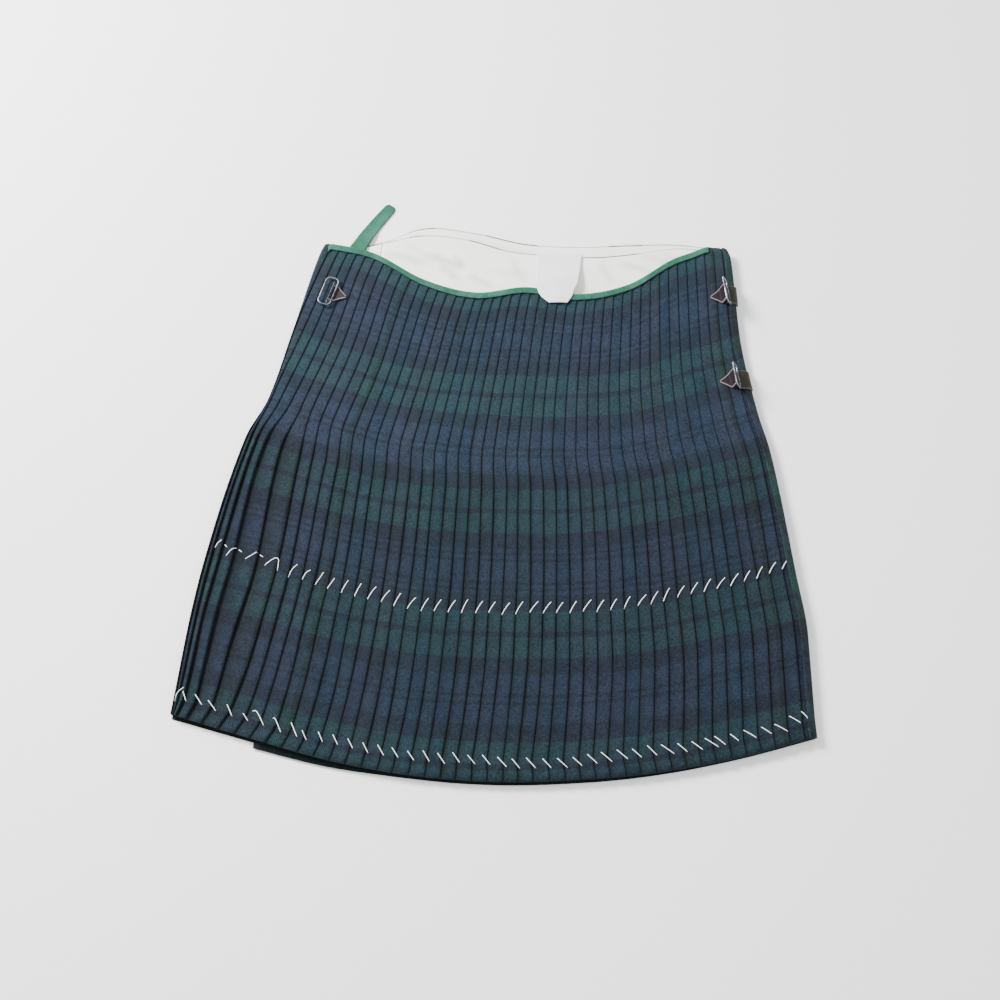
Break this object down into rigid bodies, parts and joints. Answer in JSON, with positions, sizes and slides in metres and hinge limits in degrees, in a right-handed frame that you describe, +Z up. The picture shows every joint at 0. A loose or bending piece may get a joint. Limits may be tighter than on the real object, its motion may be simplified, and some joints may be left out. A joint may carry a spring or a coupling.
{
  "type": "tartan kilt laid flat, pleated back up",
  "caption": "Heavy wool tartan kilt laid flat with its knife-pleated back up, with linings, tape binding, buckles and straps.",
  "frame": {"origin": "on the flat underside of the over apron, near the middle of the laid kilt", "axes": "+Z up from the surface it lies on, +Y from the hem towards the waist, +X to the right of the laid kilt"},
  "size_m": [0.7188, 0.7447, 0.0337],
  "materials": {
    "tartan": "heavy wool twill in a dark green, navy and black check",
    "tape": "ribbed green wool tape",
    "cotton": "plain white cotton",
    "label": "smooth white woven label, bare",
    "leather": "dark brown, worn pale at the edges",
    "strap": "dark olive brown, worn",
    "metal": "blackened, worn bright at the edges"
  },
  "bodies": {
    "root": {"pleated_back": "tartan", "over_apron": "tartan", "under_apron": "tartan", "waist_binding": "tape", "over_apron_binding": "tape", "under_apron_binding": "tape", "tape_tab": "tape", "over_apron_lining": "cotton", "under_apron_lining": "cotton", "care_label": "label", "left_chape": "leather", "upper_right_chape": "leather", "lower_right_chape": "leather", "upper_strap": "strap", "lower_strap": "strap", "left_buckle": "metal", "upper_right_buckle": "metal", "lower_right_buckle": "metal"}
  },
  "joints": []
}
